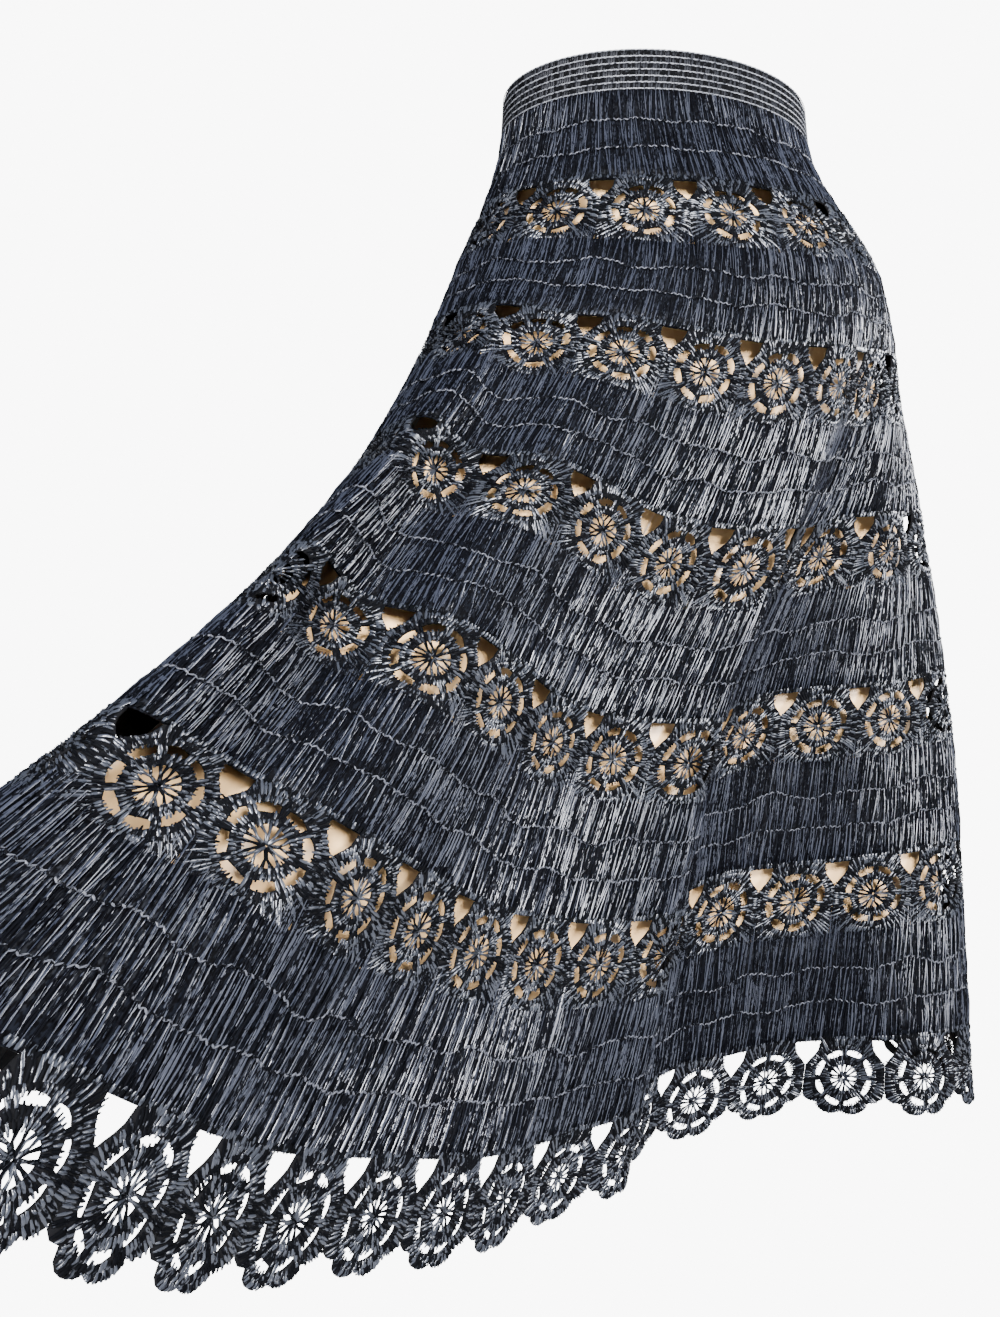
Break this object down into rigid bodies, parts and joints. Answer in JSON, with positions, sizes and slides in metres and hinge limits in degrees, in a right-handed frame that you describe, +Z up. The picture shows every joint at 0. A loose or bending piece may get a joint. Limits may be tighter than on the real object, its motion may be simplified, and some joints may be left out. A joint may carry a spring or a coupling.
{
  "type": "circle skirt",
  "caption": "Full skirt worn with its hem drawn forward on one side: ribbed waistband, tiers of long raffia stitches, bands of openwork crochet medallions and a satin lining.",
  "frame": {"origin": "centre of the waistband, where the wearer's waist holds the skirt up", "axes": "+Z up, the front of the skirt faces -Y, and +X is to the right seen from the front"},
  "size_m": [0.6547, 0.7698, 0.8045],
  "materials": {
    "rib": "crocheted ribs of blue-black raffia yarn",
    "stitch": "long flat stitches of glossy blue-black raffia",
    "crochet": "dense matt crochet of blue-black raffia",
    "satin": "tan satin with a soft sheen"
  },
  "bodies": {
    "root": {"waistband": "rib", "tier_1": "stitch", "lace_1_front": "crochet", "lace_1_back": "crochet", "tier_2": "stitch", "lace_2_front": "crochet", "lace_2_back": "crochet", "tier_3": "stitch", "lace_3_front": "crochet", "lace_3_back": "crochet", "tier_4": "stitch", "lace_4_front": "crochet", "lace_4_back": "crochet", "tier_5": "stitch", "lace_5_front": "crochet", "lace_5_back": "crochet", "tier_6": "stitch", "lace_6_front": "crochet", "lace_6_back": "crochet", "lining_gore_1": "satin", "lining_gore_2": "satin", "lining_gore_3": "satin", "lining_gore_4": "satin", "lining_gore_5": "satin", "lining_gore_6": "satin", "lining_gore_7": "satin", "lining_gore_8": "satin", "lining_gore_9": "satin"}
  },
  "joints": []
}
